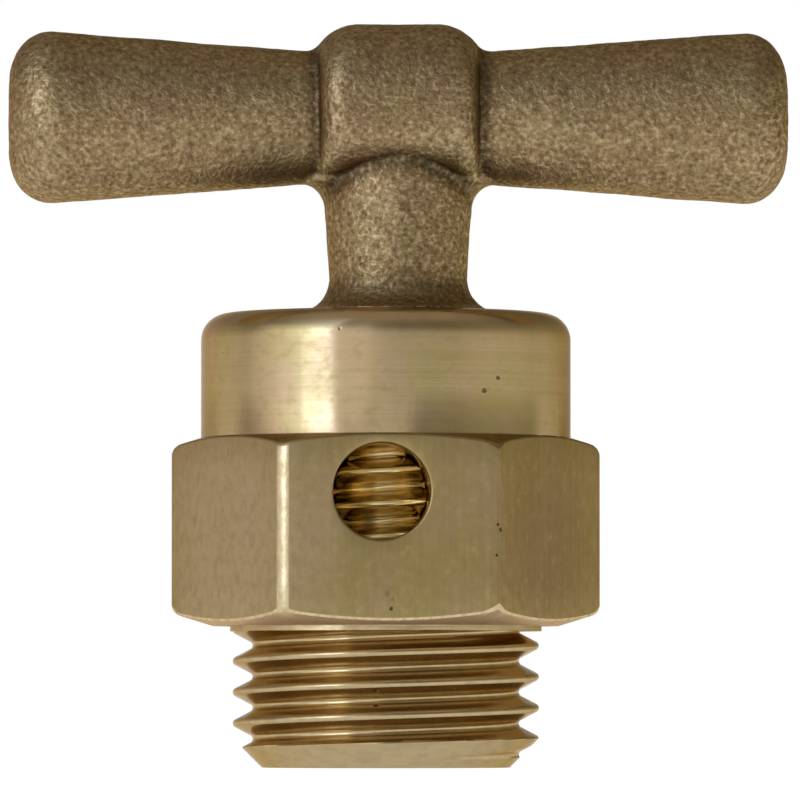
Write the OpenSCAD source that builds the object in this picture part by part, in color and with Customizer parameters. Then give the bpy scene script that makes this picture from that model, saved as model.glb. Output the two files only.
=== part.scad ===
// Brass drain valve with a tee handle.
// The origin is on the valve's axis at the spigot's end. +Z runs up the stem,
// the handle's arms lie along X and the outlet opens towards -Y.
// The valve is drawn shut: the seal rests just above the seat.

/* [Threaded spigot] */
// Outside diameter of the pipe thread, in mm
spigot_d = 13.16; // [12.7:0.02:13.6]
// Pitch of the pipe thread, in mm
spigot_pitch = 1.337; // [1.2:0.001:1.5]
// Height of the hexagon's seat above the spigot's end, in mm
spigot_len = 5.85; // [5:0.05:9]
// Size of the bevel at the spigot's end, in mm
spigot_bevel = 1.25; // [0.9:0.05:1.6]
// Height of the first thread crest on the +X side, in mm
spigot_first_crest = 1.23; // [0.6:0.01:1.9]

/* [Hexagon] */
// Distance across the flats, in mm
hex_af = 16; // [15.5:0.1:19]
// Height of the hexagon with its bevels, in mm
hex_h = 8.3; // [7.8:0.05:10]
// Diameter of the flat seat under the hexagon, in mm
hex_seat_d = 13.4; // [13:0.05:15]
// Slope of the bevels that are turned on the hexagon, in degrees
hex_bevel_angle = 17; // [10:1:30]
// Radius where a bevel runs into the hexagon's corners, in mm
hex_corner_r = 0.6; // [0.2:0.05:1]

/* [Collar] */
// Diameter of the turned collar, in mm
collar_d = 15.9; // [14:0.05:15.9]
// Height of the collar above the hexagon, in mm
collar_h = 5.35; // [4.5:0.05:8]
// Radius of the collar's top edge, in mm
collar_edge_r = 1.15; // [0.3:0.05:1.5]
// Size of the bevel round the stem's hole, in mm
mouth_bevel = 0.5; // [0.2:0.05:0.6]

/* [Water way] */
// Diameter of the inlet bore, in mm
inlet_d = 4.4; // [3.6:0.05:4.6]
// Size of the bevel at the inlet's mouth, in mm
inlet_bevel = 0.3; // [0.1:0.05:0.4]
// Height of the seat above the spigot's end, in mm
seat_z = 7.05; // [6.6:0.05:7.3]
// Width of the raised ring that the seal closes on, in mm
seat_ring_w = 0.45; // [0.3:0.05:0.5]
// Height of that ring above the floor of the stem's hole, in mm
seat_ring_h = 0.45; // [0.2:0.05:0.6]
// Diameter of the side outlet, in mm
outlet_d = 4.1; // [3:0.05:4.4]
// Height of the outlet's axis above the spigot's end, in mm
outlet_z = 11.7; // [11.4:0.05:12]
// Distance of the outlet's axis from the middle of its flat, in mm
outlet_shift = -0.35; // [-0.5:0.01:0.5]
// Size of the broken edge round the outlet, in mm
outlet_bevel = 0.12; // [0.05:0.01:0.3]

/* [Stem] */
// Outside diameter of the stem's thread, in mm
stem_d = 7.94; // [7.5:0.01:8.2]
// Pitch of the stem's thread, in mm
stem_pitch = 1.411; // [1.2:0.001:1.5]
// Height of a thread crest on the stem's +X side, in mm
stem_crest = 11.62; // [11:0.01:12.4]
// Length of the plain bevel at the stem's tip, in mm
stem_bevel = 0.9; // [0.6:0.05:1.1]
// Gap between the stem's tip and the seal's disc, in mm
seal_gap = 0.05; // [0.03:0.01:0.1]

/* [Seal] */
// Diameter of the seal's disc, in mm
seal_d = 5.8; // [5.5:0.05:6]
// Thickness of the seal's disc, in mm
seal_t = 1.15; // [0.8:0.05:1.4]
// Diameter of the seal's plug, in mm
plug_d = 2.4; // [1.6:0.05:2.8]
// Length of the seal's plug, in mm
plug_len = 1.8; // [1:0.05:3]

/* [Neck] */
// Diameter of the neck where it is slimmest, in mm
neck_d = 5.9; // [5.2:0.05:6.4]
// Diameter of the neck where it enters the hub, in mm
neck_top_d = 6.3; // [6:0.05:6.8]
// Diameter of the neck's foot, in mm
foot_d = 7.9; // [7.2:0.05:8.4]
// Radius of the hollow above the foot, in mm
foot_r = 1.4; // [1.1:0.05:1.8]
// Height of the plain edge at the foot, in mm
foot_edge = 0.05; // [0.02:0.01:0.3]
// Gap between the foot and the collar with the valve shut, in mm
foot_gap = 0.1; // [0.08:0.01:0.5]
// Radius of the hollow between the neck and the arms, in mm
arm_fillet_r = 1.15; // [0.6:0.05:1.6]
// Distance that the casting lies off the thread's axis, in mm
cast_shift = 0.53; // [0:0.01:0.8]

/* [Handle] */
// Span of the two arms from tip to tip, in mm
arm_span = 33.46; // [28:0.1:42]
// Height of the arms' axis above the spigot's end, in mm
arm_z = 27.95; // [27.5:0.05:29]
// Height of an arm beside the hub, in mm
arm_root_h = 5.64; // [5:0.02:6.4]
// Height of an arm near its tip, in mm
arm_tip_h = 7.62; // [6.6:0.02:8.4]
// Depth of an arm beside the hub, in mm
arm_root_depth = 4.8; // [4:0.1:6]
// Depth of an arm near its tip, in mm
arm_tip_depth = 6; // [5:0.1:7.4]
// Radius of the rounding at an arm's tip, in mm
arm_tip_r = 1.85; // [1:0.05:2.2]
// Height of the hub, in mm
hub_h = 8.04; // [7.6:0.02:9]
// Depth of the hub, in mm
hub_depth = 7.4; // [6.8:0.1:8.4]
// Width of the hub's face between its rounded edges, in mm
hub_face_w = 4.8; // [3.6:0.1:5.6]
// Width of the hub over its rounded edges, in mm
hub_w = 6.8; // [6.4:0.1:7.6]
// Width of the hub's foot on top of the arms, in mm
hub_top_w = 7.7; // [7.7:0.1:8.6]
// Rounding of the hub's top into its slopes, in mm
hub_round = 0.2; // [0:0.05:0.8]

/* [Clearances] */
// Gap between the crests and roots of the stem's thread and its hole, in mm
thread_gap = 0.06; // [0.04:0.01:0.08]
// Gap between the flanks of that thread, along the axis, in mm
flank_gap = 0.08; // [0.05:0.01:0.1]
// Gap round the seal's plug, in mm
plug_gap = 0.05; // [0.02:0.01:0.08]
// Gap between the seal and its seat with the valve shut, in mm
seat_gap = 0.05; // [0.03:0.01:0.1]

/* [Hidden] */
// Depth of a 55 degree thread with rounded crests, as a share of its pitch
THREAD_DEPTH = 0.6403;
// Radius of that thread's crests and roots, as a share of its pitch
THREAD_RADIUS = 0.1373;
// Half of the angle between that thread's flanks
FLANK = 27.5;
// Width of the cylinder left on a crest, as a share of the pitch
CREST_LAND = 0.12;
// Steps in one turn of the pipe thread, and of the stem's thread
SPIGOT_STEPS = 30;
STEM_STEPS = 24;
// Overlap between solids that are fused, or that a cut passes by
over = 0.2;
// Points round the section of the handle's bar, and steps in each of its curves
BAR_POINTS = 28;
BAR_STEPS = 6;
// Powers of the rounded sections: 2 is an ellipse, more is squarer
ARM_POWER = 2.2;
HUB_POWER = 2.5;
// How much less the hollow drops in front of the neck than beside it
HUB_ARCH = 0.8;

spigot_r = spigot_d / 2;
hex_corner = hex_af / 2 / cos(30);
hex_top_z = spigot_len + hex_h;
collar_top_z = hex_top_z + collar_h;
stem_r = stem_d / 2;
stem_root_r = stem_r - THREAD_DEPTH * stem_pitch;
hole_r = stem_root_r + thread_gap;
floor_z = seat_z - seat_ring_h;
seal_z = seat_z + seat_gap;
tip_z = seal_z + seal_t + seal_gap;
foot_z = collar_top_z + foot_gap;
arm_half_span = arm_span / 2;
neck_r = neck_d / 2;
neck_top_r = neck_top_d / 2;
fillet_end = neck_top_r + arm_fillet_r;
$fn = 96;

// Points on an arc about [x, y], in equal steps
function arc(x, y, r, from, to, steps) = [for (i = [0:steps])
    let (a = from + (to - from) * i / steps)
    [x + r * cos(a), y + r * sin(a)]];

// Runs smoothly from 0 to 1 as t does
function ease(t) = let (u = min(max(t, 0), 1)) u * u * (3 - 2 * u);

// Faces of a closed skin over rings of k points, one ring after another
function skin(rings, k) = concat(
    [[for (j = [0:k - 1]) j]],
    [for (i = [0:rings - 2], j = [0:k - 1])
        let (a = i * k + j, b = i * k + (j + 1) % k)
        each [[a, b + k, b], [a, a + k, b + k]]],
    [[for (j = [k - 1:-1:0]) (rings - 1) * k + j]]);

// Section of a thread's groove, as [radius, height above its middle], with rounded edges
function groove(crest_r, pitch) =
    let (
        root_r = crest_r - THREAD_DEPTH * pitch,
        round_r = THREAD_RADIUS * pitch,
        drop = round_r * (1 - sin(FLANK)),
        reach = round_r * cos(FLANK),
        land = CREST_LAND * pitch / 2,
        beyond = over / 3,
        half = [
            [root_r, land],
            [root_r + drop, reach],
            [crest_r - drop, pitch / 2 - reach],
            [crest_r + beyond, pitch / 2 - land + beyond * (reach - land) / drop]])
    concat([for (i = [3:-1:0]) [half[i].x, -half[i].y]], half);

// Section of the ridge that a tapped hole leaves room for
function ridge(crest_r, pitch, inner_r) =
    let (
        land = CREST_LAND * pitch / 2 + flank_gap,
        top_r = crest_r + thread_gap,
        foot = land + (top_r - inner_r) * tan(FLANK))
    [[top_r, -land], [inner_r, -foot], [inner_r, foot], [top_r, land]];

// Sweeps a section along a right-hand helix that passes the +X side at height z
module helix(section, pitch, z, low, high, steps) {
    first = floor((low - z) / pitch * steps) - 1;
    last = ceil((high - z) / pitch * steps) + 1;
    points = [for (i = [first:last], p = section)
        let (a = 360 * i / steps)
        [p.x * cos(a), p.x * sin(a), z + pitch * i / steps + p.y]];
    polyhedron(points, skin(last - first + 1, len(section)));
}

module spigot() {
    difference() {
        rotate_extrude() polygon([
            [0, 0],
            [spigot_r - spigot_bevel, 0],
            [spigot_r, spigot_bevel],
            [spigot_r, spigot_len],
            [0, spigot_len]]);
        helix(groove(spigot_r, spigot_pitch), spigot_pitch,
            spigot_first_crest - spigot_pitch / 2,
            -spigot_pitch, spigot_len + spigot_pitch, SPIGOT_STEPS);
    }
}

// Outline of the hexagon's two turned bevels, from the axis out and back
function hex_profile() =
    let (
        a = hex_bevel_angle,
        x = hex_corner - hex_corner_r,
        under = (x - hex_seat_d / 2) * tan(a) + hex_corner_r / cos(a),
        above = (x - collar_d / 2) * tan(a) + hex_corner_r / cos(a))
    concat(
        [[0, spigot_len], [hex_seat_d / 2, spigot_len]],
        arc(x, spigot_len + under, hex_corner_r, a - 90, 0, 5),
        arc(x, hex_top_z - above, hex_corner_r, 0, 90 - a, 5),
        [[collar_d / 2, hex_top_z], [0, hex_top_z]]);

module hexagon() {
    intersection() {
        translate([0, 0, spigot_len - over])
            cylinder(r = hex_corner, h = hex_h + 2 * over, $fn = 6);
        rotate_extrude() polygon(hex_profile());
    }
}

module collar() {
    rotate_extrude() polygon(concat(
        [[0, hex_top_z - over], [collar_d / 2, hex_top_z - over]],
        arc(collar_d / 2 - collar_edge_r, collar_top_z - collar_edge_r, collar_edge_r, 0, 90, 8),
        [[0, collar_top_z]]));
}

// The inlet, the seat with its raised ring, and the stem's hole above them
module water_way() {
    ring_r = inlet_d / 2 + seat_ring_w;
    rotate_extrude() polygon([
        [0, -over],
        [inlet_d / 2 + inlet_bevel + over, -over],
        [inlet_d / 2, inlet_bevel],
        [inlet_d / 2, seat_z],
        [ring_r, seat_z],
        [ring_r, floor_z],
        [hole_r, floor_z],
        [hole_r, collar_top_z - mouth_bevel - stem_r + hole_r],
        [stem_r + mouth_bevel + over, collar_top_z + over],
        [0, collar_top_z + over]]);
}

module tapping() {
    helix(ridge(stem_r, stem_pitch, hole_r - over / 2), stem_pitch, stem_crest,
        tip_z - stem_pitch / 4, collar_top_z + stem_pitch, STEM_STEPS);
}

module outlet() {
    translate([outlet_shift, 0, outlet_z]) rotate([90, 0, 0]) {
        cylinder(d = outlet_d, h = hex_af / 2 + over);
        translate([0, 0, hex_af / 2 - outlet_bevel])
            cylinder(d1 = outlet_d, d2 = outlet_d + 2 * (outlet_bevel + over), h = outlet_bevel + over);
    }
}

module valve_body() {
    color("#b8964f") difference() {
        union() {
            spigot();
            hexagon();
            collar();
        }
        water_way();
        tapping();
        outlet();
    }
}

// Half of an arm's size at a distance from the hub's middle, from its sizes beside the hub and at its tip
function taper(root, tip, d) = (root + (tip - root) * (d - hub_w / 2) / (arm_half_span - hub_w / 2)) / 2;

// Height of the bar over its axis, at a distance from the hub's middle
function rise(d) =
    let (
        arm = taper(arm_root_h, arm_tip_h, d),
        foot = hub_face_w / 2 - hub_round,
        t = (d - foot) / (hub_top_w / 2 - foot))
    arm + (hub_h / 2 - arm) * (1 - ease(t)) - tip_rounding(d);

// Depth of the bar under its axis there, with the hollow that runs down into the neck
function drop(d) =
    let (
        t = min(max((fillet_end - d) / arm_fillet_r, 0), 1),
        hollow = arm_fillet_r * (1 - sqrt(1 - t * t)),
        under_hub = arm_fillet_r * (1 - HUB_ARCH * (1 - ease(d / neck_top_r))))
    taper(arm_root_h, arm_tip_h, d) + min(hollow, under_hub) - tip_rounding(d);

// Half of the bar's depth there, front to back
function half_depth(d) =
    let (
        arm = taper(arm_root_depth, arm_tip_depth, d),
        t = min(max((d - hub_face_w / 2) / (hub_w / 2 - hub_face_w / 2), 0), 1))
    arm + (hub_depth / 2 - arm) * (t < 1 ? sqrt(1 - t * t) : 0) - tip_rounding(d);

// What the rounding takes off each of these near a tip
function tip_rounding(d) =
    let (t = min(max((d - arm_half_span + arm_tip_r) / arm_tip_r, 0), 1))
    arm_tip_r * (1 - sqrt(1 - t * t));

// Distances from the hub's middle at which the bar has a section
function bar_stations() =
    let (
        face = hub_face_w / 2,
        edge = hub_w / 2 - face,
        root = max(hub_top_w / 2, fillet_end),
        tip = arm_half_span - arm_tip_r,
        side = concat(
            [face * 0.3, face * 0.7],
            [for (i = [0:BAR_STEPS]) face + edge * sin(90 * i / BAR_STEPS)],
            [for (i = [1:BAR_STEPS]) hub_w / 2 + (root - hub_w / 2) * pow(i / BAR_STEPS, 2)],
            [(root + tip) / 2],
            [for (i = [0:BAR_STEPS]) tip + arm_tip_r * sin(90 * i / BAR_STEPS)]))
    concat([for (i = [len(side) - 1:-1:0]) -side[i]], side);

// A rounded section of the bar, squarer at the hub than along the arms
function bar_section(x) =
    let (
        d = abs(x),
        t = ease((d - hub_face_w / 2) / (hub_w / 2 - hub_face_w / 2)),
        power = 2 / (HUB_POWER + (ARM_POWER - HUB_POWER) * t))
    [for (i = [0:BAR_POINTS - 1])
        let (a = 360 * (i + 0.5) / BAR_POINTS, c = cos(a), s = sin(a))
        [x,
            half_depth(d) * sign(c) * pow(abs(c), power),
            (s > 0 ? rise(d) : -drop(d)) * pow(abs(s), power)]];

// Both arms and the hub between them, as one cast bar
module bar() {
    stations = bar_stations();
    translate([0, 0, arm_z])
        polyhedron([for (x = stations) each bar_section(x)], skin(len(stations), BAR_POINTS));
}

// The neck with the hollow above its foot
module neck() {
    hollow_x = neck_r + foot_r;
    edge_angle = acos((hollow_x - foot_d / 2) / foot_r);
    hollow_z = foot_z + foot_edge + foot_r * sin(edge_angle);
    rotate_extrude() polygon(concat(
        [[0, foot_z], [foot_d / 2, foot_z]],
        arc(hollow_x, hollow_z, foot_r, 180 + edge_angle, 180, 7),
        [[neck_top_r, arm_z - hub_h / 2], [neck_top_r, arm_z], [0, arm_z]]));
}

module stem() {
    difference() {
        rotate_extrude() polygon([
            [0, tip_z],
            [stem_r - stem_bevel, tip_z],
            [stem_r, tip_z + stem_bevel],
            [stem_r, foot_z],
            [0, foot_z]]);
        helix(groove(stem_r, stem_pitch), stem_pitch, stem_crest - stem_pitch / 2,
            tip_z - stem_pitch, foot_z + stem_pitch, STEM_STEPS);
        translate([0, 0, tip_z - over])
            cylinder(r = plug_d / 2 + plug_gap, h = plug_len + over + seal_gap);
    }
}

module tee_handle() {
    color("#7d6540") {
        stem();
        translate([cast_shift, 0, 0]) {
            neck();
            bar();
        }
    }
}

module seat_seal() {
    color("#26231f") translate([0, 0, seal_z]) {
        cylinder(d = seal_d, h = seal_t);
        cylinder(d = plug_d, h = seal_t + plug_len);
    }
}

valve_body();
tee_handle();
seat_seal();
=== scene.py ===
import math

import bmesh
import bpy
import numpy as np
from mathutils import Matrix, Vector, noise


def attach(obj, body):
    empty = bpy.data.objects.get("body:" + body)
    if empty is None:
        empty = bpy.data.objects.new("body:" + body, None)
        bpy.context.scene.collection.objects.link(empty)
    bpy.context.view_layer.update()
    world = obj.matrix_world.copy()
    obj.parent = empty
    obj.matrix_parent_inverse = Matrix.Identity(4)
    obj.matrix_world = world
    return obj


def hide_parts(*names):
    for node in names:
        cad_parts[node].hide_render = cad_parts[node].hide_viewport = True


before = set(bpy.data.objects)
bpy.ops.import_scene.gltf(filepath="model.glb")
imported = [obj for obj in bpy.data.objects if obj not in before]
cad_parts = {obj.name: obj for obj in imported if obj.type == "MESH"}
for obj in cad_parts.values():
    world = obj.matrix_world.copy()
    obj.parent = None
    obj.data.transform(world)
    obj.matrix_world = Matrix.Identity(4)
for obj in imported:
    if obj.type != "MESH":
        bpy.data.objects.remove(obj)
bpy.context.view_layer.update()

# Sizes in mm, the same as in the part's source
SPIGOT_R, SPIGOT_PITCH, SPIGOT_LEN, SPIGOT_BEVEL, FIRST_CREST = 6.58, 1.337, 5.85, 1.25, 1.23
HEX_AF, HEX_TOP, HEX_SEAT_R, HEX_SLOPE, HEX_CORNER_R = 16.0, 14.15, 6.7, math.tan(math.radians(17)), 0.6
COLLAR_R, COLLAR_TOP, COLLAR_EDGE, MOUTH_BEVEL = 7.95, 19.5, 1.15, 0.5
INLET_R, INLET_BEVEL, SEAT_Z, RING_W, RING_H = 2.2, 0.3, 7.05, 0.45, 0.45
OUTLET_R, OUTLET_Z, OUTLET_X, OUTLET_RIM = 2.05, 11.7, -0.35, 0.12
STEM_R, STEM_PITCH, STEM_CREST, STEM_BEVEL, STEM_TIP = 3.97, 1.411, 11.62, 0.9, 8.3
PLUG_HOLE_R, PLUG_HOLE_TOP = 1.25, 10.15
THREAD_GAP, FLANK_GAP = 0.06, 0.08
NECK_R, NECK_TOP_R, FOOT_R, FOOT_HOLLOW, FOOT_EDGE, FOOT_Z = 2.95, 3.15, 3.95, 1.4, 0.05, 19.6
FILLET, SHIFT, ARM_Z, HALF_SPAN, TIP_R = 1.15, 0.53, 27.95, 16.73, 1.85
HUB_FACE, HUB_W, HUB_H, HUB_DEPTH = 4.8, 6.8, 8.04, 7.4
ARM_ROOT_H, ARM_TIP_H, ARM_ROOT_DEPTH, ARM_TIP_DEPTH = 5.64, 7.62, 4.8, 6.0

# A 55 degree thread's depth and rounding as shares of its pitch, and half its angle
DEPTH, ROUND, FLANK = 0.6403, 0.1373, math.radians(27.5)

# Sizes in mm of what only the scene shows: the land over the spigot, the radii of the hexagon's six corners
# from +X, the broken edges, the arms' ends, the hub's shoulders, and the crease under the hub
LAND_H = 0.23
LAND_R = HEX_SEAT_R + LAND_H / HEX_SLOPE
CORNER_RADII = (0.2, 0.25, 0.25, 0.2, 0.75, 0.25)
BROKEN_EDGE, THREAD_BLEND = 0.1, 0.03
TIP_ROUND, RIDGE = 2.3, 0.3
HUB_FLAT, SHOULDER_R, SHOULDER_HOLLOW = 3.2, 2.3, 0.8
GROOVE, GROOVE_DROP, GROOVE_ABOVE, GROOVE_BELOW, GROOVE_FADE = 0.05, 0.15, 0.32, 0.42, 0.35

# The casting's skin: its mesh in metres, its unevenness as (size, height in mm, place), how far it swells,
# how hollow it is where grime and painted shade are darkest, and how sharp where wear and a painted
# highlight are lightest
VOXEL, EVENING_ROUNDS = 0.000108, 30
LUMPS = ((0.45, 0.035, (0, 0, 0)), (1.3, 0.015, (9, 4, 2)), (3.1, 0.012, (3, 8, 5)))
SWELL, DARKEST_HOLLOW, LIGHTEST_EDGE = 0.012, 0.0022, 0.003


def mesh_piece(name, points, faces, sharp=35):
    """A mesh object from points in mm, with coinciding points made one and edges over an angle left sharp."""
    mesh = bpy.data.meshes.new(name)
    mesh.from_pydata((np.asarray(points) * 0.001).tolist(), [], faces)
    work = bmesh.new()
    work.from_mesh(mesh)
    bmesh.ops.remove_doubles(work, verts=work.verts, dist=1e-6)
    bmesh.ops.dissolve_degenerate(work, edges=work.edges, dist=1e-7)
    work.to_mesh(mesh)
    work.free()
    obj = bpy.data.objects.new(name, mesh)
    bpy.context.scene.collection.objects.link(obj)
    smooth(obj, sharp)
    return obj


def smooth(obj, sharp):
    mesh = obj.data
    mesh.shade_smooth()
    mesh.set_sharp_from_angle(angle=math.radians(sharp))


def lathe(columns):
    """A closed surface from columns that run from axis to axis, the last one lying on the first."""
    columns = np.asarray(columns)
    n, m = columns.shape[:2]
    faces = [(i * m + j, (i + 1) * m + j, (i + 1) * m + j + 1, i * m + j + 1)
             for i in range(n - 1) for j in range(m - 1)]
    return columns.reshape(-1, 3), faces


def thread_radius(s, crest_r, pitch):
    """Radius of a rounded 55 degree thread at a height s above a crest."""
    s = np.abs((s / pitch + 0.5) % 1 - 0.5) * pitch
    r = ROUND * pitch
    reach = r * math.cos(FLANK)
    drop = r * (1 - math.sin(FLANK))
    crest = crest_r - r + np.sqrt(np.maximum(r * r - s * s, 0))
    root = crest_r - DEPTH * pitch + r - np.sqrt(np.maximum(r * r - (pitch / 2 - s) ** 2, 0))
    flank = crest_r - drop - (s - reach) / math.tan(FLANK)
    return np.where(s < reach, crest, np.where(s > pitch / 2 - reach, root, flank))


def thread_rows(pitch, round_steps, flank_steps):
    """Heights in one pitch, closer together where the thread is rounded."""
    r = ROUND * pitch
    a = np.linspace(-1, 1, round_steps, endpoint=False) * (math.pi / 2 - FLANK)
    reach = r * math.cos(FLANK)
    up = np.linspace(reach, pitch / 2 - reach, flank_steps, endpoint=False)
    return np.concatenate([r * np.sin(a), up, pitch / 2 + r * np.sin(a), pitch / 2 + up])


def helix_heights(theta, z0, rows, pitch, low, high):
    """Heights of the rows that follow a helix from low to high in one column, held at both ends."""
    first = math.floor((low - z0) / pitch) - 2
    last = math.ceil((high - z0) / pitch) + 1
    u = np.concatenate([z0 + k * pitch + rows for k in range(first, last)])
    return np.clip(u + pitch * theta / (2 * math.pi), low, high)


def arc(x, y, r, start, stop, steps):
    a = np.radians(np.linspace(start, stop, steps + 1))
    return np.stack([x + r * np.cos(a), y + r * np.sin(a)], 1)


def column(theta, radii, heights):
    return np.stack([radii * math.cos(theta), radii * math.sin(theta), heights], 1)


def revolved(profile, steps):
    """A closed surface of revolution about Z, from (radius, height) points."""
    profile = np.asarray(profile, float)
    columns = []
    for t in np.linspace(0, 2 * math.pi, steps + 1):
        columns.append(column(t % (2 * math.pi), profile[:, 0], profile[:, 1]))
    return lathe(columns)


def tube_faces(rings, n):
    """Faces of a closed tube over so many rings of n points, with both its ends."""
    faces = [[i * n + j, i * n + (j + 1) % n, (i + 1) * n + (j + 1) % n, (i + 1) * n + j]
             for i in range(rings - 1) for j in range(n)]
    return faces + [list(range(n))[::-1], list(range((rings - 1) * n, rings * n))]


# Valve body

def hexagon_outline():
    """(angle, radius) of points round the hexagon, with its corners rounded."""
    points = []
    for k, r in enumerate(CORNER_RADII):
        a = math.radians(60 * k)
        centre = (HEX_AF / 2 - r) / math.cos(math.radians(30))
        for d in np.radians(np.linspace(-30, 30, 9)):
            points.append((centre * math.cos(a) + r * math.cos(a + d),
                           centre * math.sin(a) + r * math.sin(a + d)))
        nxt, q = math.radians(60 * (k + 1)), CORNER_RADII[(k + 1) % 6]
        reach = (HEX_AF / 2 - q) / math.cos(math.radians(30))
        end = np.array([reach * math.cos(nxt) + q * math.cos(nxt - math.radians(30)),
                        reach * math.sin(nxt) + q * math.sin(nxt - math.radians(30))])
        start = np.array(points[-1])
        for t in np.linspace(0, 1, 27)[1:-1]:
            points.append(tuple(start + (end - start) * t))
    p = np.array(points)
    theta = np.arctan2(p[:, 1], p[:, 0]) % (2 * math.pi)
    order = np.argsort(theta)
    return theta[order], np.hypot(p[:, 0], p[:, 1])[order]


def bevel_rise(r, inner_r):
    """How far a turned bevel of the hexagon stands back at a radius, rounded off into the corners."""
    corner = HEX_AF / 2 / math.cos(math.radians(30)) - HEX_CORNER_R
    cos = math.cos(math.atan(HEX_SLOPE))
    bend = corner + HEX_CORNER_R * HEX_SLOPE * cos
    centre = (corner - inner_r) * HEX_SLOPE + HEX_CORNER_R / cos
    if r < bend:
        return max(r - inner_r, 0) * HEX_SLOPE
    return centre - math.sqrt(max(HEX_CORNER_R ** 2 - (r - corner) ** 2, 0))


def wall_edge(r, inner_r, base, sign):
    """From the bevel over the broken edge on to the wall, at one point of the outline."""
    inner, outer = bevel_rise(r - BROKEN_EDGE, inner_r), bevel_rise(r, inner_r)
    a = np.array([r - BROKEN_EDGE, base + sign * inner])
    b = np.array([r, base + sign * outer])
    c = np.array([r, base + sign * (outer + BROKEN_EDGE)])
    return [(1 - t) ** 2 * a + 2 * t * (1 - t) * b + t * t * c for t in (0, 0.25, 0.5, 0.75, 1)]


def body_columns():
    """The outside of the body, from the spigot's end over the hexagon to the collar's top."""
    theta, wall = hexagon_outline()
    rows = thread_rows(SPIGOT_PITCH, 10, 6)
    out = []
    for i in range(len(theta) + 1):
        last = i == len(theta)
        t, r = (theta[0] + 2 * math.pi, wall[0]) if last else (theta[i], wall[i])
        z = helix_heights(t, FIRST_CREST, rows, SPIGOT_PITCH, 0, SPIGOT_LEN)
        lead = SPIGOT_R - SPIGOT_BEVEL + z
        crest = thread_radius(z - FIRST_CREST - SPIGOT_PITCH * t / (2 * math.pi), SPIGOT_R, SPIGOT_PITCH)
        gap = np.clip((THREAD_BLEND - np.abs(lead - crest)) / THREAD_BLEND, 0, 1)
        radius = np.minimum(lead, crest) - gap * gap * THREAD_BLEND / 4
        line = [(0, 0), (4.0, 0), (SPIGOT_R - SPIGOT_BEVEL - 0.12, 0)]
        line += list(zip(radius, z))
        land_z = SPIGOT_LEN + LAND_H
        line += [(HEX_SEAT_R, SPIGOT_LEN), (HEX_SEAT_R, land_z), (LAND_R, land_z)]
        low = wall_edge(r, HEX_SEAT_R, SPIGOT_LEN, 1)
        high = wall_edge(r, COLLAR_R, HEX_TOP, -1)[::-1]
        middle = (low[0][0] + LAND_R) / 2
        line += [(middle, SPIGOT_LEN + bevel_rise(middle, HEX_SEAT_R))]
        line += [tuple(p) for p in low]
        line += [(r, low[-1][1] + (high[0][1] - low[-1][1]) * k / 6) for k in range(1, 6)]
        line += [tuple(p) for p in high]
        inner = max(min(high[-1][0], COLLAR_R + 0.02), COLLAR_R)
        line += [(inner, HEX_TOP)] if high[-1][0] > COLLAR_R + 0.02 else [(COLLAR_R, HEX_TOP + 0.01)]
        line += [(COLLAR_R, HEX_TOP + 0.05), (COLLAR_R, 16), (COLLAR_R, 18)]
        round_r, round_z = COLLAR_R - COLLAR_EDGE, COLLAR_TOP - COLLAR_EDGE
        line += [tuple(p) for p in arc(round_r, round_z, COLLAR_EDGE, 0, 90, 14)]
        line += [(5.8, COLLAR_TOP), (0, COLLAR_TOP)]
        line = np.array(line, float)
        out.append(column(t, line[:, 0], line[:, 1]))
    return out


def water_way_columns():
    """The inlet, the seat and the tapped hole, as the solid that is cut away."""
    hole = STEM_R - DEPTH * STEM_PITCH + THREAD_GAP
    top = STEM_R + THREAD_GAP
    land = 0.06 * STEM_PITCH + FLANK_GAP
    foot = land + (top - hole) * math.tan(FLANK)
    middle = (land + foot) / 2
    rows = np.array([-land, 0, land, middle, foot, STEM_PITCH / 2, STEM_PITCH - foot, STEM_PITCH - middle])
    start, over = STEM_TIP - STEM_PITCH / 4, 0.2
    out = []
    for t in np.linspace(0, 2 * math.pi, 145):
        z = helix_heights(t, STEM_CREST, rows, STEM_PITCH, start, COLLAR_TOP + over)
        s = (z - STEM_CREST) / STEM_PITCH - t / (2 * math.pi)
        s = np.abs((s + 0.5) % 1 - 0.5) * STEM_PITCH
        r = np.clip(top - (s - land) / math.tan(FLANK), hole, top)
        r = np.maximum(r, STEM_R + MOUTH_BEVEL + z - COLLAR_TOP)
        line = [(0, -over), (INLET_R + INLET_BEVEL + over, -over), (INLET_R, INLET_BEVEL)]
        line += [(INLET_R, SEAT_Z - 0.05), (INLET_R + 0.05, SEAT_Z), (INLET_R + RING_W, SEAT_Z)]
        line += [(INLET_R + RING_W, SEAT_Z - RING_H), (hole, SEAT_Z - RING_H)]
        line += list(zip(r, z)) + [(0, COLLAR_TOP + over)]
        line = np.array(line, float)
        out.append(column(t, line[:, 0], line[:, 1]))
    return out


def evaluated(obj):
    """The object's mesh with its modifiers applied."""
    bpy.context.view_layer.update()
    mesh = bpy.data.meshes.new_from_object(obj.evaluated_get(bpy.context.evaluated_depsgraph_get()))
    obj.modifiers.clear()
    obj.data = mesh
    return mesh


def cut(obj, tool):
    modifier = obj.modifiers.new("cut", "BOOLEAN")
    modifier.operation, modifier.solver, modifier.object = "DIFFERENCE", "MANIFOLD", tool
    evaluated(obj).materials.clear()
    bpy.data.objects.remove(tool)


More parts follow.
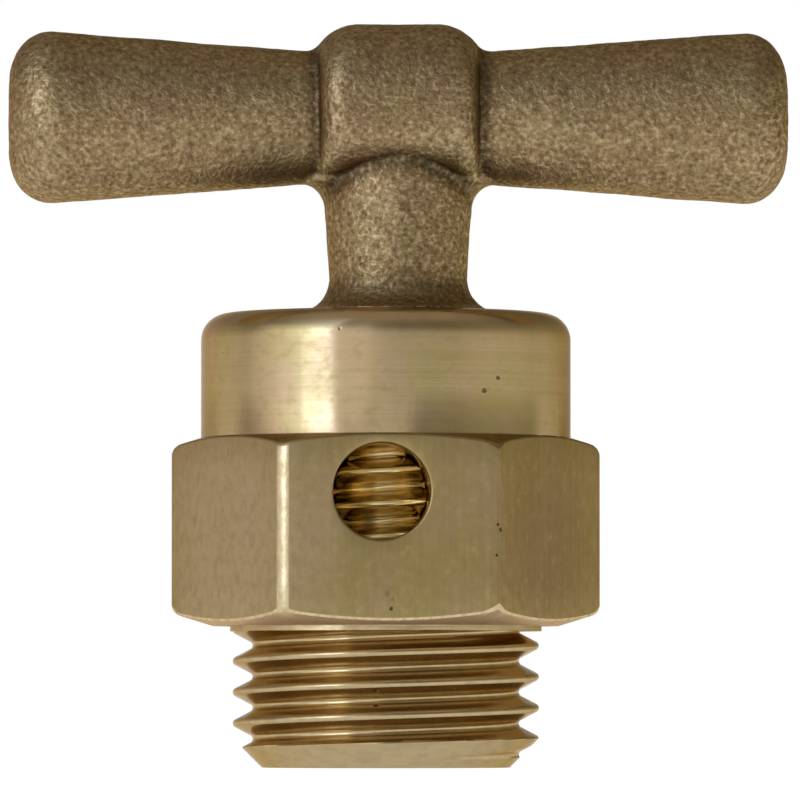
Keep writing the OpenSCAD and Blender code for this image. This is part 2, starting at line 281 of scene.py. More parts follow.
def outlet_tool():
    """The hole in the front flat, with its rim broken."""
    rim = OUTLET_RIM
    profile = [(0, 0), (OUTLET_R, 0), (OUTLET_R, HEX_AF / 2 - rim)]
    profile += [tuple(p) for p in arc(OUTLET_R + rim, HEX_AF / 2 - rim, rim, 180, 90, 5)[1:]]
    profile += [(OUTLET_R + rim + 0.1, HEX_AF / 2 + 0.3), (0, HEX_AF / 2 + 0.3)]
    points, faces = revolved(profile, 96)
    points = np.stack([points[:, 0] + OUTLET_X, -points[:, 2], points[:, 1] + OUTLET_Z], 1)
    return mesh_piece("outlet_tool", points, faces)


body = mesh_piece("valve_body_finish", *lathe(body_columns()))
cut(body, mesh_piece("water_way_tool", *lathe(water_way_columns())))
cut(body, outlet_tool())
smooth(body, 30)


# Handle

def ease(t):
    t = np.clip(t, 0, 1)
    return t * t * (3 - 2 * t)


def taper(root, tip, d):
    return (root + (tip - root) * max(d - HUB_W / 2, 0) / (HALF_SPAN - HUB_W / 2)) / 2


def tip_rounding(d, size=TIP_R):
    t = np.clip((d - HALF_SPAN + TIP_R) / TIP_R, 0, 1)
    return size * (1 - np.sqrt(1 - t * t))


def shoulder(d):
    """Height that the hub adds to the arms: a flat, a round shoulder and a hollow that ends on the arm."""
    step, both = (HUB_H - ARM_ROOT_H) / 2, SHOULDER_R + SHOULDER_HOLLOW
    reach = math.sqrt(both ** 2 - (both - step) ** 2)
    u = min(max(d - HUB_FLAT / 2, 0), reach)
    if u < reach * SHOULDER_R / both:
        return step - SHOULDER_R + math.sqrt(SHOULDER_R ** 2 - u * u)
    return SHOULDER_HOLLOW - math.sqrt(SHOULDER_HOLLOW ** 2 - (reach - u) ** 2)


def drop(d):
    return taper(ARM_ROOT_H, ARM_TIP_H, d) - tip_rounding(d, TIP_ROUND)


def rise(d):
    return drop(d) + shoulder(d)


def half_depth(d):
    arm = taper(ARM_ROOT_DEPTH, ARM_TIP_DEPTH, d)
    t = min(max((d - HUB_FACE / 2) / (HUB_W / 2 - HUB_FACE / 2), 0), 1)
    return arm + (HUB_DEPTH / 2 - arm) * (math.sqrt(1 - t * t) if t < 1 else 0) - tip_rounding(d)


def ridge(x):
    """The left tip falls away from a soft ridge where its rounding begins."""
    return RIDGE * min(max((-x - HALF_SPAN + TIP_R) / TIP_R, 0), 1)


def bar():
    """Both arms and the hub, as rounded sections along X."""
    face, edge = HUB_FACE / 2, (HUB_W - HUB_FACE) / 2
    side = list(np.linspace(0.1, face, 14, endpoint=False))
    side += list(face + edge * np.sin(np.linspace(0, math.pi / 2, 14)))
    side += list(np.linspace(HUB_W / 2 + 0.03, 4.4, 14))
    side += list(np.linspace(4.6, HALF_SPAN - TIP_R, 30))
    side += list(HALF_SPAN - TIP_R + TIP_R * np.sin(np.linspace(0, math.pi / 2, 14)[1:]))
    xs = [-x for x in side[::-1]] + [0.0] + side
    n, rings = 88, []
    for x in xs:
        d = abs(x)
        power = 2 / (2.5 - 0.3 * float(ease((d - face) / edge)))
        a = 2 * np.pi * (np.arange(n) + 0.5) / n
        c, s = np.cos(a), np.sin(a)
        up = np.where(s > 0, rise(d), -drop(d)) * np.abs(s) ** power
        out = (half_depth(d) - ridge(x)) * np.sign(c) * np.abs(c) ** power
        rings.append(np.stack([np.full(n, x), out, up + ARM_Z], 1))
    return np.concatenate(rings) + [SHIFT, 0, 0], tube_faces(len(xs), n)


def neck():
    """The neck from its foot up into the bar."""
    hollow_x = NECK_R + FOOT_HOLLOW
    edge = math.degrees(math.acos((hollow_x - FOOT_R) / FOOT_HOLLOW))
    hollow_z = FOOT_Z + FOOT_EDGE + FOOT_HOLLOW * math.sin(math.radians(edge))
    profile = [(0, FOOT_Z), (FOOT_R, FOOT_Z)]
    profile += [tuple(p) for p in arc(hollow_x, hollow_z, FOOT_HOLLOW, 180 + edge, 180, 16)]
    profile += [(NECK_TOP_R, ARM_Z - HUB_H / 2), (NECK_TOP_R, ARM_Z), (0, ARM_Z)]
    points, faces = revolved(profile, 120)
    return points + [SHIFT, 0, 0], faces


def spread():
    """The hollows beside the neck, where it widens into the arms and is as deep as they are."""
    low, n = ARM_Z - ARM_ROOT_H / 2 - FILLET, 72
    levels = [(NECK_TOP_R - 0.1, low - 0.3)]
    levels += [(NECK_TOP_R + FILLET * (1 - math.cos(a)), low + FILLET * math.sin(a))
               for a in np.linspace(0, math.pi / 2, 16)]
    levels += [(NECK_TOP_R + FILLET, ARM_Z - ARM_ROOT_H / 4)]
    a = 2 * np.pi * np.arange(n) / n
    rings = [np.stack([r * np.cos(a) + SHIFT, ARM_ROOT_DEPTH / 2 * np.sin(a), np.full(n, z)], 1)
             for r, z in levels]
    return np.concatenate(rings), tube_faces(len(levels), n)


def crease_height(d):
    """Height where the neck's round front comes out from under the hub, at a distance from its middle."""
    share = math.sqrt(max(NECK_TOP_R ** 2 - d * d, 0)) / half_depth(d)
    return ARM_Z - drop(d) * max(1 - share ** 2.5, 0) ** 0.4


def joined(parts):
    """Points and faces of several closed surfaces, one after another."""
    points, faces = [], []
    for p, f in parts:
        shift = sum(len(q) for q in points)
        points.append(p)
        faces += [[i + shift for i in ring] for ring in f]
    return np.concatenate(points), faces


def hollowness(co, normals, edges, rounds):
    """How hollow the surface is at each point, above 0 in a crease and below 0 on an edge, evened out."""
    degree = np.bincount(edges.ravel(), minlength=len(co)).clip(1)

    def around(values):
        total = np.zeros_like(values)
        np.add.at(total, edges[:, 0], values[edges[:, 1]])
        np.add.at(total, edges[:, 1], values[edges[:, 0]])
        return total / (degree[:, None] if values.ndim > 1 else degree)

    bend = ((around(co) - co) * normals).sum(1)
    for _ in range(rounds):
        bend = (bend + around(bend)) / 2
    return bend


def casting():
    """The cast part of the handle: bar, neck and hollows in one skin, uneven as from a sand mould."""
    obj = mesh_piece("tee_handle_casting", *joined([bar(), neck(), spread()]))
    for kind, values in (("REMESH", {"mode": "VOXEL", "voxel_size": VOXEL}),
                         ("SMOOTH", {"factor": 0.5, "iterations": 6})):
        modifier = obj.modifiers.new("m", kind)
        for k, v in values.items():
            setattr(modifier, k, v)
    mesh = evaluated(obj)
    n = len(mesh.vertices)
    co, normals = np.zeros(n * 3), np.zeros(n * 3)
    edges = np.zeros(len(mesh.edges) * 2, np.int64)
    mesh.vertices.foreach_get("co", co)
    mesh.vertices.foreach_get("normal", normals)
    mesh.edges.foreach_get("vertices", edges)
    co, normals, edges = co.reshape(-1, 3), normals.reshape(-1, 3), edges.reshape(-1, 2)
    mm = co * 1000
    bend = hollowness(mm, normals, edges, EVENING_ROUNDS)
    across = np.abs(mm[:, 0] - SHIFT)
    steps = np.linspace(0, NECK_TOP_R, 60)
    # A band along the crease under the hub: cut as a shallow groove, and painted as shade.
    under = mm[:, 2] + GROOVE_DROP - np.interp(across, steps, [crease_height(d) for d in steps])
    under = np.exp(-np.where(under > 0, under / GROOVE_ABOVE, under / GROOVE_BELOW) ** 2)
    under *= np.clip((NECK_TOP_R - across) / GROOVE_FADE, 0, 1)
    # The first attribute darkens hollows with grime and painted shade and the band under the hub with painted
    # shadow; the second lightens sharp edges with wear and a painted highlight.
    for name, values in (("crease", np.clip(bend / DARKEST_HOLLOW + 0.8 * under, 0, 1)),
                         ("worn_and_lit", np.clip(-bend / LIGHTEST_EDGE - under, 0, 1))):
        mesh.attributes.new(name, "FLOAT", "POINT").data.foreach_set("value", values.astype(np.float32))
    lumps = np.array([sum(noise.noise(Vector(p) * size + Vector(at)) * height for size, height, at in LUMPS)
                      for p in mm])
    keep = np.clip((mm[:, 2] - FOOT_Z - 0.05) / 0.5, 0, 1)
    co = co + normals * (((lumps + SWELL) * keep - GROOVE * under) * 0.001)[:, None]
    mesh.vertices.foreach_set("co", co.ravel())
    mesh.update()
    mesh.shade_smooth()
    return obj


def stem():
    """The threaded stem below the casting, with the hole for the seal's plug in its tip."""
    rows = thread_rows(STEM_PITCH, 8, 4)
    top = FOOT_Z + 0.03
    out = []
    for t in np.linspace(0, 2 * math.pi, 121):
        z = helix_heights(t, STEM_CREST, rows, STEM_PITCH, STEM_TIP, top)
        r = thread_radius(z - STEM_CREST - STEM_PITCH * t / (2 * math.pi), STEM_R, STEM_PITCH)
        r = np.minimum(r, STEM_R - STEM_BEVEL + z - STEM_TIP)
        line = [(0, PLUG_HOLE_TOP), (PLUG_HOLE_R, PLUG_HOLE_TOP), (PLUG_HOLE_R, STEM_TIP)]
        line += list(zip(r, z)) + [(0, top)]
        line = np.array(line, float)
        out.append(column(t, line[:, 0], line[:, 1]))
    return mesh_piece("tee_handle_stem", *lathe(out))


handle = casting()
screw = stem()


# Materials

class Nodes:
    """A short way to write node trees."""

    def __init__(self, tree):
        self.tree = tree
        tree.nodes.clear()

    def add(self, kind, inputs=(), **settings):
        node = self.tree.nodes.new(kind)
        for k, v in settings.items():
            setattr(node, k, v)
        for k, v in dict(inputs).items():
            socket = node.inputs[k]
            if isinstance(v, bpy.types.NodeSocket):
                self.tree.links.new(v, socket)
            else:
                socket.default_value = v
        return node

    def math(self, operation, a, b=0.0, c=0.0):
        return self.add("ShaderNodeMath", {0: a, 1: b, 2: c}, operation=operation).outputs[0]

    def noise(self, vector, scale, detail=2.0, rough=0.5):
        return self.add("ShaderNodeTexNoise", {"Vector": vector, "Scale": scale, "Detail": detail,
                                               "Roughness": rough}).outputs["Fac"]

    def ramp(self, value, low, high, start=0.0, end=1.0):
        inputs = {"Value": value, "From Min": low, "From Max": high, "To Min": start, "To Max": end}
        return self.add("ShaderNodeMapRange", inputs, clamp=True).outputs["Result"]

    def distance(self, vector, point):
        return self.add("ShaderNodeVectorMath", {0: vector, 1: point}, operation="DISTANCE").outputs["Value"]

    def spot(self, mm, point, radius, soft=0.5):
        """1 within a small spot, falling to 0 at its edge."""
        return self.ramp(self.distance(mm, point), radius * (1 - soft), radius, 1.0, 0.0)

    def spots(self, mm, places):
        """Several (point, radius) spots in one."""
        total = self.spot(mm, *places[0])
        for point, radius in places[1:]:
            total = self.math("MAXIMUM", total, self.spot(mm, point, radius))
        return total

    def bump(self, height, strength=1.0):
        """A normal from heights in mm."""
        inputs = {"Strength": strength, "Distance": 0.001, "Height": height}
        return self.add("ShaderNodeBump", inputs).outputs[0]

    def mix(self, factor, a, b, blend="MIX"):
        node = self.add("ShaderNodeMix", data_type="RGBA", blend_type=blend)
        for key, value in ((0, factor), (6, a), (7, b)):
            if isinstance(value, bpy.types.NodeSocket):
                self.tree.links.new(value, node.inputs[key])
            elif key:
                node.inputs[key].default_value = (*value, 1)
            else:
                node.inputs[key].default_value = value
        return node.outputs[2]

    def steps(self, value, stops):
        """A colour ramp through (value, colour) stops."""
        node = self.add("ShaderNodeValToRGB", {"Fac": value})
        ramp = node.color_ramp
        while len(ramp.elements) > 1:
            ramp.elements.remove(ramp.elements[-1])
        for i, (at, colour) in enumerate(stops):
            element = ramp.elements[0] if i == 0 else ramp.elements.new(at)
            element.position = at
            element.color = (*colour, 1)
        return node.outputs[0]

    def steepness(self):
        """0 on an upright face, 1 on a level one, facing up or down."""
        normal = self.add("ShaderNodeNewGeometry").outputs["Normal"]
        return self.math("ABSOLUTE", self.add("ShaderNodeSeparateXYZ", {0: normal}).outputs[2])

    def scaled(self, vector, scale):
        return self.add("ShaderNodeVectorMath", {0: vector, 1: scale}, operation="MULTIPLY").outputs[0]


def new_material(name):
    material = bpy.data.materials.new(name)
    material.use_nodes = True
    return material, Nodes(material.node_tree)


def place(n):
    """Object coordinates in mm."""
    return n.scaled(n.add("ShaderNodeTexCoord").outputs["Object"], (1000, 1000, 1000))


EDGE_TINT = (0.75, 0.62, 0.42, 1)


def metal(n, colour, rough, normal, **constants):
    inputs = {"Base Color": colour, "Metallic": 1.0, "Roughness": rough, "Specular Tint": EDGE_TINT,
              "Normal": normal, **constants}
    shader = n.add("ShaderNodeBsdfPrincipled", inputs)
    n.add("ShaderNodeOutputMaterial", {"Surface": shader.outputs[0]})


def turned_brass():
    """The collar and the bevels: bright, with turning lines round the axis."""
    material, n = new_material("turned_brass")
    mm = place(n)
    z = n.add("ShaderNodeSeparateXYZ", {0: mm}).outputs[2]
    lines = n.noise(n.scaled(mm, (0.06, 0.06, 9.0)), 1.0, 4.0, 0.65)
    bands = n.noise(n.scaled(mm, (0.12, 0.12, 2.2)), 1.0, 2.0)
    wide = n.noise(n.scaled(mm, (0.45, 0.45, 0.35)), 1.0, 2.0)
    upright = n.noise(n.scaled(mm, (1.1, 1.1, 0.1)), 1.0, 2.0)
    grain = n.noise(n.scaled(mm, (1.8, 1.8, 2.6)), 1.0, 3.0, 0.6)
    colour = n.mix(n.ramp(wide, 0.38, 0.62), (0.50, 0.41, 0.195), (0.56, 0.41, 0.25))
    colour = n.mix(n.ramp(upright, 0.4, 0.7, 0.0, 0.35), colour, (0.47, 0.37, 0.175))
    colour = n.mix(n.ramp(grain, 0.50, 0.72, 0.0, 0.55), colour, (0.41, 0.30, 0.145))
    colour = n.mix(n.ramp(lines, 0.35, 0.75, 0.0, 0.18), colour, (0.70, 0.58, 0.36))
    # Level faces take a paler, less golden tone: painted light, for how light falls on them.
    colour = n.mix(n.ramp(n.steepness(), 0.25, 0.85, 0.0, 0.85), colour, (0.56, 0.43, 0.26))
    # Painted shade darkens the collar's top edge.
    collar_top_shade = n.ramp(z, COLLAR_TOP - 0.08, COLLAR_TOP - 0.01, 0.0, 0.4)
    colour = n.mix(collar_top_shade, colour, (0.20, 0.13, 0.07))
    pits = n.add("ShaderNodeTexVoronoi", {"Vector": mm, "Scale": 0.5}).outputs["Distance"]
    pit = n.math("MAXIMUM", n.ramp(pits, 0.02, 0.05, 0.6, 0.0),
                 n.spots(mm, (((4.0, -6.87, 16.0), 0.14), ((4.6, -6.48, 16.55), 0.12))))
    colour = n.mix(n.math("MULTIPLY", pit, 0.75), colour, (0.10, 0.065, 0.03))
    rough = n.math("ADD", n.ramp(bands, 0.35, 0.65, 0.14, 0.23), n.ramp(grain, 0.4, 0.7, 0.0, 0.08))
    height = n.math("SUBTRACT", n.math("MULTIPLY", lines, 0.0028), n.math("MULTIPLY", pit, 0.03))
    tangent = n.add("ShaderNodeTangent", direction_type="RADIAL", axis="Z").outputs[0]
    turning = {"Anisotropic": 0.8, "Anisotropic Rotation": 0.25, "Tangent": tangent}
    metal(n, colour, rough, n.bump(height), **turning)
    return material


def drawn_brass():
    """The hexagon's flats: drawn bar, duller, with faint upright lines, a right flat darkened by age and
    painted shade, and painted light on the left flat.
    """
    material, n = new_material("drawn_brass")
    mm = place(n)
    lines = n.noise(n.scaled(mm, (5.0, 5.0, 0.12)), 1.0, 4.0, 0.6)
    wide = n.noise(n.scaled(mm, (0.5, 0.5, 0.3)), 1.0, 2.0)
    mottle = n.noise(n.scaled(mm, (2.6, 2.6, 2.0)), 1.0, 3.0, 0.6)
    colour = n.mix(n.ramp(wide, 0.38, 0.62), (0.345, 0.265, 0.105), (0.37, 0.27, 0.135))
    # The right flat is darker: partly its aged surface, partly painted shade, as it faces away from the
    # light.
    aged_and_shaded = n.math("MULTIPLY", n.spot(mm, (8, -5, 9.5), 5.5, 0.6), 0.75)
    colour = n.mix(aged_and_shaded, colour, (0.285, 0.20, 0.115))
    # The left flat is lighter: painted light, as it faces the window.
    paler = n.math("MULTIPLY", n.spot(mm, (-8, -5, 10.0), 7.5, 0.6), 0.75)
    colour = n.mix(paler, colour, (0.52, 0.40, 0.26))
    colour = n.mix(n.ramp(mottle, 0.45, 0.72, 0.0, 0.4), colour, (0.26, 0.19, 0.08))
    colour = n.mix(n.ramp(mottle, 0.30, 0.42, 0.35, 0.0), colour, (0.48, 0.38, 0.20))
    colour = n.mix(n.ramp(lines, 0.4, 0.75, 0.0, 0.25), colour, (0.48, 0.37, 0.19))
    pit = n.spots(mm, (((4.72, -7.96, 10.1), 0.15), ((4.55, -7.99, 10.3), 0.08),
                       ((4.5, -7.99, 9.0), 0.07), ((0.05, -8.0, 6.75), 0.1)))
    scuff = n.ramp(n.distance(mm, (0.05, -8.0, 7.35)), 0.22, 0.36, 1.0, 0.0)
    scuff = n.math("MULTIPLY", scuff, n.ramp(n.noise(mm, 3.0, 2.0), 0.45, 0.6))
    colour = n.mix(n.math("MULTIPLY", scuff, 0.6), colour, (0.20, 0.14, 0.07))
    colour = n.mix(n.math("MULTIPLY", pit, 0.85), colour, (0.07, 0.045, 0.02))
    rough = n.ramp(mottle, 0.3, 0.7, 0.30, 0.42)
    height = n.math("SUBTRACT", n.math("MULTIPLY", lines, 0.006), n.math("MULTIPLY", pit, 0.04))
    height = n.math("ADD", height, n.math("MULTIPLY", mottle, 0.006))
    metal(n, colour, rough, n.bump(height))
    return material


def worn_and_lit_brass(name, light, dark, smoothest):
    """Lighter brass at the hexagon's edges and under it: partly wear, partly painted light, as a painted
    highlight on the edges and the floor's light painted underneath.
    """
    material, n = new_material(name)
    mm = place(n)
    grain = n.noise(n.scaled(mm, (3.0, 3.0, 1.6)), 1.0, 3.0, 0.6)
    colour = n.mix(n.ramp(grain, 0.35, 0.7), light, dark)
    rough = n.ramp(grain, 0.3, 0.7, smoothest, smoothest + 0.14)
    metal(n, colour, rough, n.bump(n.math("MULTIPLY", grain, 0.012)))
    return material


def cut_brass(name, crest, flank, bevel):
    """Freshly cut brass of threads and bores, with colours for upright faces, flanks and the bevel: painted
    light and shade by the way each faces.
    """
    material, n = new_material(name)
    mm = place(n)
    grain = n.noise(n.scaled(mm, (1.5, 1.5, 4.0)), 1.0, 3.0)
    # By steepness: upright crests and roots lighter, flanks darker, as painted light and shade.
    stops = ((0.0, crest), (0.4, crest), (0.68, bevel), (0.74, bevel), (0.86, flank), (1.0, flank))
    colour = n.steps(n.steepness(), stops)
    colour = n.mix(n.ramp(grain, 0.42, 0.7, 0.0, 0.5), colour, tuple(c * 0.62 for c in crest))
    pit = n.spot(mm, (-0.55, -5.9, 2.7), 0.13)
    colour = n.mix(n.math("MULTIPLY", pit, 0.9), colour, (0.03, 0.02, 0.01))
    rough = n.ramp(grain, 0.3, 0.7, 0.13, 0.25)
    lines = n.noise(n.scaled(mm, (0.3, 0.3, 11.0)), 1.0, 3.0, 0.6)
    height = n.math("SUBTRACT", n.math("MULTIPLY", lines, 0.003), n.math("MULTIPLY", pit, 0.03))
    metal(n, colour, rough, n.bump(height))
    return material


def cast_brass():
    """The handle's rough cast skin, brown with age, darker in its hollows from grime and painted shade, with
    a painted shadow under the hub, and lighter on its edges from wear and a painted highlight.
    """
    material, n = new_material("cast_brass")
    mm = place(n)
    grain = n.noise(mm, 4.6, 2.5, 0.58)
    blotch = n.noise(mm, 1.7, 3.0, 0.6)
    patch = n.noise(mm, 0.45, 2.0, 0.6)
    colour = n.mix(n.ramp(patch, 0.35, 0.65), (0.31, 0.205, 0.108), (0.325, 0.24, 0.115))
    colour = n.mix(n.ramp(blotch, 0.45, 0.68, 0.0, 0.55), colour, (0.20, 0.135, 0.068))
    colour = n.mix(n.ramp(grain, 0.52, 0.74, 0.0, 0.75), colour, (0.62, 0.49, 0.28))
    colour = n.mix(n.ramp(grain, 0.28, 0.47, 0.7, 0.0), colour, (0.13, 0.085, 0.042))
    # A darker patch on the left arm's lower front, beside the neck.
    dark_patch = n.math("MULTIPLY", n.spot(mm, (-4.8, -2.1, 25.6), 2.0, 0.9), n.ramp(blotch, 0.35, 0.6, 1.0, 0.5))
    colour = n.mix(n.math("MULTIPLY", dark_patch, 0.75), colour, (0.12, 0.09, 0.045))
    # Hollows darkened: grime and painted shade, with the painted shadow under the hub.
    crease = n.add("ShaderNodeAttribute", attribute_name="crease").outputs["Fac"]
    crease = n.math("MULTIPLY", crease, n.ramp(grain, 0.3, 0.65, 1.0, 0.6))
    colour = n.mix(n.math("MULTIPLY", crease, 0.85), colour, (0.07, 0.048, 0.026))
    # Sharp edges lightened: wear and a painted highlight.
    worn_and_lit = n.add("ShaderNodeAttribute", attribute_name="worn_and_lit").outputs["Fac"]
    worn_and_lit = n.math("MULTIPLY", worn_and_lit, n.ramp(grain, 0.35, 0.6, 0.0, 0.35))
    colour = n.mix(worn_and_lit, colour, (0.70, 0.56, 0.35))
    pit = n.spots(mm, (((-15.4, -2.35, 29.75), 0.16), ((-15.5, -2.3, 29.6), 0.12),
                       ((15.1, -2.6, 25.4), 0.13), ((6.9, -2.5, 26.7), 0.1)))
    colour = n.mix(n.math("MULTIPLY", pit, 0.9), colour, (0.03, 0.018, 0.01))
    rough = n.ramp(grain, 0.35, 0.65, 0.56, 0.38)
    height = n.math("SUBTRACT", n.math("MULTIPLY", grain, 0.062), n.math("MULTIPLY", pit, 0.06))
    metal(n, colour, rough, n.bump(height))
    return material


def nitrile():
    """The seal's matt black rubber."""
    material, n = new_material("nitrile")
    mm = place(n)
    grain = n.noise(mm, 4.0, 3.0)
    colour = n.mix(n.ramp(grain, 0.3, 0.7), (0.02, 0.02, 0.021), (0.045, 0.043, 0.04))
    inputs = {"Base Color": colour, "Roughness": n.ramp(grain, 0.3, 0.7, 0.5, 0.65),
              "Normal": n.bump(n.math("MULTIPLY", grain, 0.02), 0.5)}
    shader = n.add("ShaderNodeBsdfPrincipled", inputs)
    n.add("ShaderNodeOutputMaterial", {"Surface": shader.outputs[0]})
    return material


cast = cast_brass()
# Shaded and lit copies of one cut brass: threaded_brass darker on the spigot as painted shade, bored_brass
# lighter as painted light for the hole and the stem in it, which lie in shade.
threaded = cut_brass("threaded_brass", (0.57, 0.445, 0.255), (0.48, 0.36, 0.205), (0.47, 0.37, 0.21))
bored = cut_brass("bored_brass", (0.76, 0.63, 0.38), (0.68, 0.56, 0.32), (0.68, 0.56, 0.32))
# Lighter copies for the hexagon: wear with a painted highlight on its edges, and seat_brass with the floor's
# light painted on its underside.
worn_and_lit = worn_and_lit_brass("worn_and_lit_brass", (0.74, 0.62, 0.39), (0.54, 0.42, 0.23), 0.20)
seat = worn_and_lit_brass("seat_brass", (0.70, 0.54, 0.36), (0.58, 0.43, 0.27), 0.42)

# The body's materials by number, the direction in degrees of the hexagon's corner that gets neither wear nor
# its painted highlight, and the slack in mm for telling faces apart by their place
TURNED, DRAWN, THREADED, BORED, WORN_AND_LIT, SEAT = range(6)
PLAIN_CORNER = 300
SLACK = 0.02

for m in (turned_brass(), drawn_brass(), threaded, bored, worn_and_lit, seat):
    body.data.materials.append(m)


def body_slots():
    """Which material each of the body's faces has, from where it lies and which way it faces."""
    count = len(body.data.polygons)
    centre, normal = np.zeros(count * 3), np.zeros(count * 3)
    body.data.polygons.foreach_get("center", centre)
    body.data.polygons.foreach_get("normal", normal)
    centre, normal = centre.reshape(-1, 3) * 1000, normal.reshape(-1, 3)
    radius = np.hypot(centre[:, 0], centre[:, 1])
    x, y, z = centre.T
    slots = np.where(z > HEX_TOP + 0.002, TURNED, np.where(z > SPIGOT_LEN + 0.002, DRAWN, THREADED))
    hexagon, level = slots == DRAWN, np.abs(normal[:, 2])
    slots[hexagon & (level > 0.9)] = TURNED
    # Below the outlet the hexagon's underside takes seat_brass, painted light from the floor, and its broken
    # edge the lighter brass, a painted highlight.
    slots[hexagon & (level > 0.9) & (z < OUTLET_Z)] = SEAT
    slots[hexagon & (level > 0.08) & (level <= 0.9) & (z < OUTLET_Z)] = WORN_AND_LIT
    facing = np.degrees(np.arctan2(normal[:, 1], normal[:, 0])) % 360
    # Corners but the one facing away from the window take the lighter brass: wear and a painted highlight.
    bright_corners = (np.abs(facing % 60 - 30) > 4) & (np.abs(facing - PLAIN_CORNER) > 30)
    slots[hexagon & (level <= 0.08) & bright_corners] = WORN_AND_LIT
    slots[hexagon & (radius < LAND_R - 0.05) & (z < SPIGOT_LEN + LAND_H)] = THREADED
    off_outlet, upright = np.hypot(x - OUTLET_X, z - OUTLET_Z), np.abs(normal[:, 1]) < 0.99
    rim = (off_outlet < OUTLET_R + OUTLET_RIM + SLACK) & (y < -HEX_AF / 2 + 0.2)
    slots[rim & upright] = DRAWN
    in_outlet = (off_outlet < OUTLET_R + SLACK) & (y < 0)
    slots[in_outlet & upright & (y > -HEX_AF / 2 + OUTLET_RIM)] = BORED
    slots[(radius < 5.2) & (z > 0.01) & (z < COLLAR_TOP - 0.01)] = BORED
    return slots.astype(np.int32)


body.data.polygons.foreach_set("material_index", body_slots())
body.data.update()
handle.data.materials.append(cast)
screw.data.materials.append(bored)
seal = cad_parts["seat_seal"]
seal.data.materials.clear()
seal.data.materials.append(nitrile())

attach(body, "body")
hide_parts("valve_body")
for piece in (handle, screw):
    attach(piece, "handle")
    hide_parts("tee_handle")


# Floor, world and lamps

FLOOR_R, FLOOR_CORNERS = 3, 64


def floor():
    """A white floor that keeps the shadow. It glows for the camera and for what mirrors it."""
    mesh = bpy.data.meshes.new("floor")
    turns = np.linspace(0, 2 * math.pi, FLOOR_CORNERS, endpoint=False)
    ring = [(FLOOR_R * math.cos(a), FLOOR_R * math.sin(a), 0) for a in turns]
    mesh.from_pydata(ring, [], [list(range(FLOOR_CORNERS))])
    obj = bpy.data.objects.new("floor", mesh)
    bpy.context.scene.collection.objects.link(obj)
    material, n = new_material("floor")
    path = n.add("ShaderNodeLightPath")
    mirrored = n.math("MAXIMUM", path.outputs["Is Glossy Ray"], path.outputs["Is Transmission Ray"])
    strength = n.math("MAXIMUM", n.math("MULTIPLY", path.outputs["Is Camera Ray"], 0.88),
                      n.math("MULTIPLY", mirrored, 0.72))
    diffuse = n.add("ShaderNodeBsdfDiffuse", {"Color": (0.5, 0.5, 0.5, 1)})
    glow = n.add("ShaderNodeEmission", {"Color": (1, 1, 1, 1), "Strength": strength})
    both = n.add("ShaderNodeAddShader", {0: diffuse.outputs[0], 1: glow.outputs[0]})
    n.add("ShaderNodeOutputMaterial", {"Surface": both.outputs[0]})
    mesh.materials.append(material)


# Where the room's upper part stays light, as (azimuth, share)
WINDOW = ((-95, 0), (-75, 1), (-20, 1), (-5, 0))


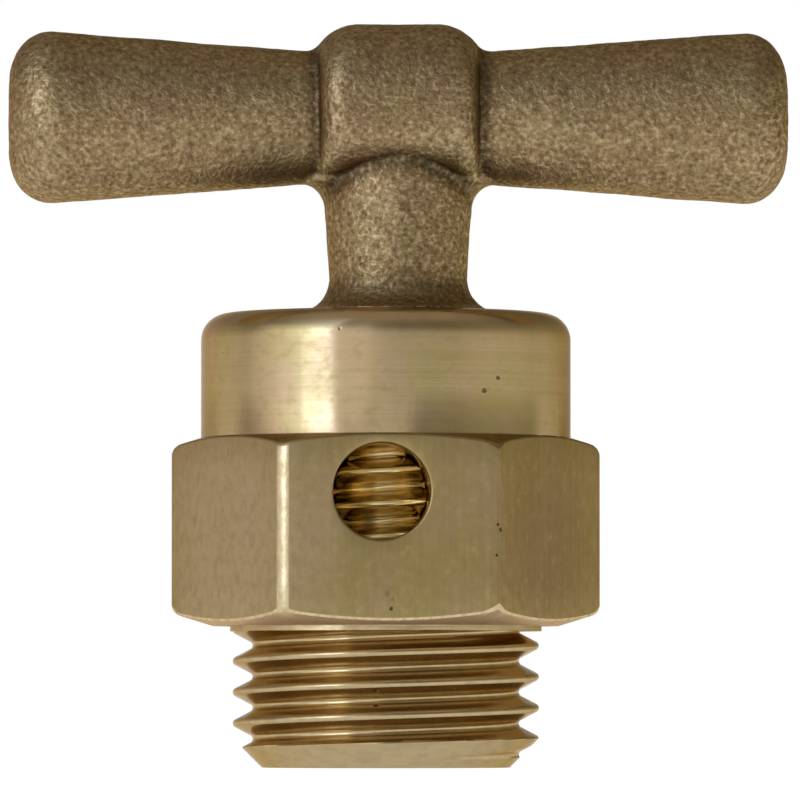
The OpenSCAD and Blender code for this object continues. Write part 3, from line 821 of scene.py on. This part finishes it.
def studio():
    """Light by azimuth in degrees to the right of the camera: a window on the left, else a duller room."""
    world = bpy.data.worlds.new("studio")
    bpy.context.scene.world = world
    world.use_nodes = True
    n = Nodes(world.node_tree)
    way = n.add("ShaderNodeTexCoord").outputs["Generated"]
    x, y, z = n.add("ShaderNodeSeparateXYZ", {0: way}).outputs
    azimuth = n.math("ARCTAN2", x, n.math("MULTIPLY", y, -1.0))
    share = n.math("MULTIPLY_ADD", azimuth, 1 / (2 * math.pi), 0.5 - VIEW_TURN / 360)
    stops = [(-180, (0.80, 0.80, 0.80)), (-155, (0.75, 0.69, 0.80)), (-120, (0.73, 0.65, 0.57)),
             (-97, (0.58, 0.52, 0.45)), (-75, (1.05, 1.0, 1.0)), (-60, (1.5, 1.55, 1.65)),
             (-45, (1.9, 2.15, 2.6)), (-33.5, (1.9, 2.15, 2.6)), (-31.5, (0.85, 0.83, 0.80)),
             (-14, (0.95, 0.93, 0.93)), (-3, (0.66, 0.64, 0.62)), (10, (0.54, 0.51, 0.48)),
             (45, (0.50, 0.45, 0.35)), (60, (0.62, 0.58, 0.44)), (85, (0.62, 0.58, 0.43)),
             (103, (0.54, 0.49, 0.36)), (118, (0.60, 0.55, 0.42)), (145, (0.53, 0.47, 0.37)),
             (165, (0.45, 0.42, 0.40)), (180, (0.80, 0.80, 0.80))]
    room = n.steps(share, [(at / 360 + 0.5, colour) for at, colour in stops])
    window = n.steps(share, [(at / 360 + 0.5, (lit, lit, lit)) for at, lit in WINDOW])
    shade = n.math("MULTIPLY", n.ramp(z, 0.0, 0.45, 0.0, 0.58), n.math("SUBTRACT", 1.0, window))
    shade = n.math("MAXIMUM", shade, n.ramp(z, 0.32, 0.62, 0.0, 0.6))
    room = n.mix(shade, room, (0, 0, 0))
    room = n.mix(n.ramp(z, 0.72, 0.94), room, (0.38, 0.32, 0.26))
    path = n.add("ShaderNodeLightPath")
    colour = n.mix(path.outputs["Is Camera Ray"], room, (1, 1, 1))
    light = n.add("ShaderNodeBackground", {"Color": colour, "Strength": 1.0})
    n.add("ShaderNodeOutputWorld", {"Surface": light.outputs[0]})


def lamp(name, azimuth, elevation, distance, width, height, radiance, colour):
    """A soft box at an azimuth to the right of the camera and an elevation in degrees, sizes in metres."""
    light = bpy.data.lights.new(name, "AREA")
    light.shape, light.size, light.size_y = "RECTANGLE", width, height
    light.energy = radiance * math.pi * width * height
    light.color = colour
    obj = bpy.data.objects.new(name, light)
    a, e = math.radians(azimuth + VIEW_TURN), math.radians(elevation)
    way = Vector((math.sin(a) * math.cos(e), -math.cos(a) * math.cos(e), math.sin(e)))
    obj.location = way * distance + LIT_POINT
    obj.rotation_euler = (LIT_POINT - obj.location).to_track_quat("-Z", "Y").to_euler()
    bpy.context.scene.collection.objects.link(obj)


# The camera's direction in degrees off the front, and the point that the lamp is turned to
VIEW_TURN = -1.43
LIT_POINT = Vector((0, 0, 0.015))
floor()
studio()
lamp("key", -44, 14, 0.9, 0.30, 0.44, 0.75, (0.95, 1.0, 1.1))


# Camera: its lens in mm, its distance, its height, the height that it looks at and its step to the right
LENS, DISTANCE, EYE_Z, TARGET_Z, ASIDE = 405, 0.387, 0.00254, 0.0158, 0.00061

camera = bpy.data.cameras.new("camera")
camera.lens, camera.sensor_width, camera.clip_start = LENS, 36, 0.01
eye = bpy.data.objects.new("camera", camera)
bpy.context.scene.collection.objects.link(eye)
turn = math.radians(VIEW_TURN)
across = Vector((math.cos(turn), math.sin(turn), 0))
ahead = Vector((-math.sin(turn), math.cos(turn), 0))
target = across * ASIDE + Vector((0, 0, TARGET_Z))
eye.location = across * ASIDE - ahead * DISTANCE + Vector((0, 0, EYE_Z))
eye.rotation_euler = (target - eye.location).to_track_quat("-Z", "Y").to_euler()
bpy.context.scene.camera = eye

bpy.context.scene.view_settings.view_transform = "Standard"
